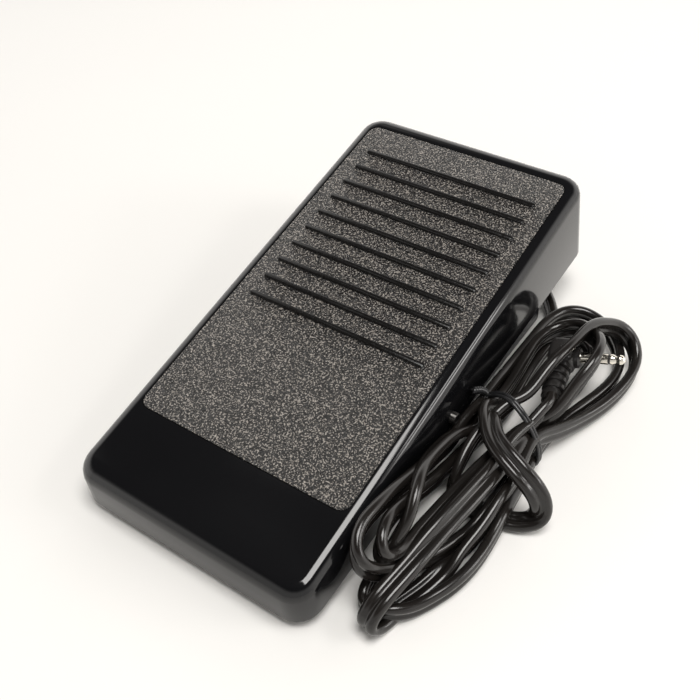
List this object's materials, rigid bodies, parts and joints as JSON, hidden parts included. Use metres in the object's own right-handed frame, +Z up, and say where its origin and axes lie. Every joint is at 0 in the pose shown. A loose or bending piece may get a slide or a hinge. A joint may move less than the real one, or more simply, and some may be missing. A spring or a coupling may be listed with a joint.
{
  "type": "foot pedal",
  "caption": "Wedge-shaped foot speed control: ribbed black treadle rocking over a base tray, spring returned, with a flat twin cord in a tied hank and a right-angle phone plug",
  "frame": {"origin": "on the table, under the middle of the pedal's own box, the hank and the plug left out", "axes": "+Z up, +Y from the low heel end to the raised toe end, +X to the side where the hank of cord lies"},
  "size_m": [0.1302, 0.1781, 0.0496],
  "materials": {
    "cover": "glossy black moulded plastic",
    "grip": "pebble-grained black plastic",
    "base": "smooth black moulded plastic",
    "steel": "zinc-plated steel",
    "rubber": "matt black rubber",
    "spring": "drawn spring wire",
    "acetal": "natural white engineering plastic",
    "board": "green solder-masked glass fibre board",
    "terminal": "green plastic",
    "capacitor": "dipped film capacitor",
    "resistor": "lacquered ceramic",
    "relief": "satin black moulded vinyl",
    "cord": "satin black extruded vinyl",
    "tie": "black vinyl over wire",
    "plug": "moulded black vinyl",
    "pin": "nickel plate"
  },
  "bodies": {
    "base": {"base_tray": "base", "hinge_pin_left": "steel", "hinge_pin_right": "steel", "rubber_foot_heel_left": "rubber", "rubber_foot_heel_right": "rubber", "rubber_foot_toe_left": "rubber", "rubber_foot_toe_right": "rubber", "return_spring_left": "spring", "return_spring_right": "spring", "spring_seat_left": "acetal", "spring_seat_right": "acetal", "potentiometer": "steel", "circuit_board": "board", "terminal_block": "terminal", "capacitor": "capacitor", "resistor": "resistor", "board_screw_1": "steel", "board_screw_2": "steel", "board_screw_3": "steel", "board_screw_4": "steel", "ballast_plate": "steel", "ballast_screw_1": "steel", "ballast_screw_2": "steel", "stop_bumper_left": "rubber", "stop_bumper_right": "rubber", "heel_pad_left": "rubber", "heel_pad_right": "rubber", "strain_relief": "relief", "cord_clamp": "acetal", "clamp_screw_1": "steel", "clamp_screw_2": "steel", "inner_lead": "cord", "cord_lead": "cord", "cord_hank": "cord", "twist_tie": "tie", "plug_lead": "cord", "plug_body": "plug", "plug_pin": "pin"},
    "treadle": {"treadle_cover": "cover", "grip_panel": "grip", "spring_pad_left": "acetal", "spring_pad_right": "acetal", "drive_sector": "acetal"},
    "sensor_rotor": {"sensor_pinion": "acetal", "sensor_shaft": "steel"}
  },
  "joints": [
    {"name": "treadle_hinge", "type": "hinge", "parent": "base", "child": "treadle", "pos_m": [0, -0.00938, 0.01618], "axis": [1, 0, 0], "range_deg": [-6, 0], "stiffness_Nm_per_rad": 5, "springref_deg": 4.01, "deforming": ["return_spring_left", "return_spring_right"]},
    {"name": "sensor_turn", "type": "hinge", "parent": "base", "child": "sensor_rotor", "pos_m": [-0.008, 0.03239, 0.02057], "axis": [1, 0, 0], "range_deg": [0, 36]}
  ],
  "couplings": [
    {"joint": "sensor_turn", "follows": "treadle_hinge", "ratio": -6}
  ]
}
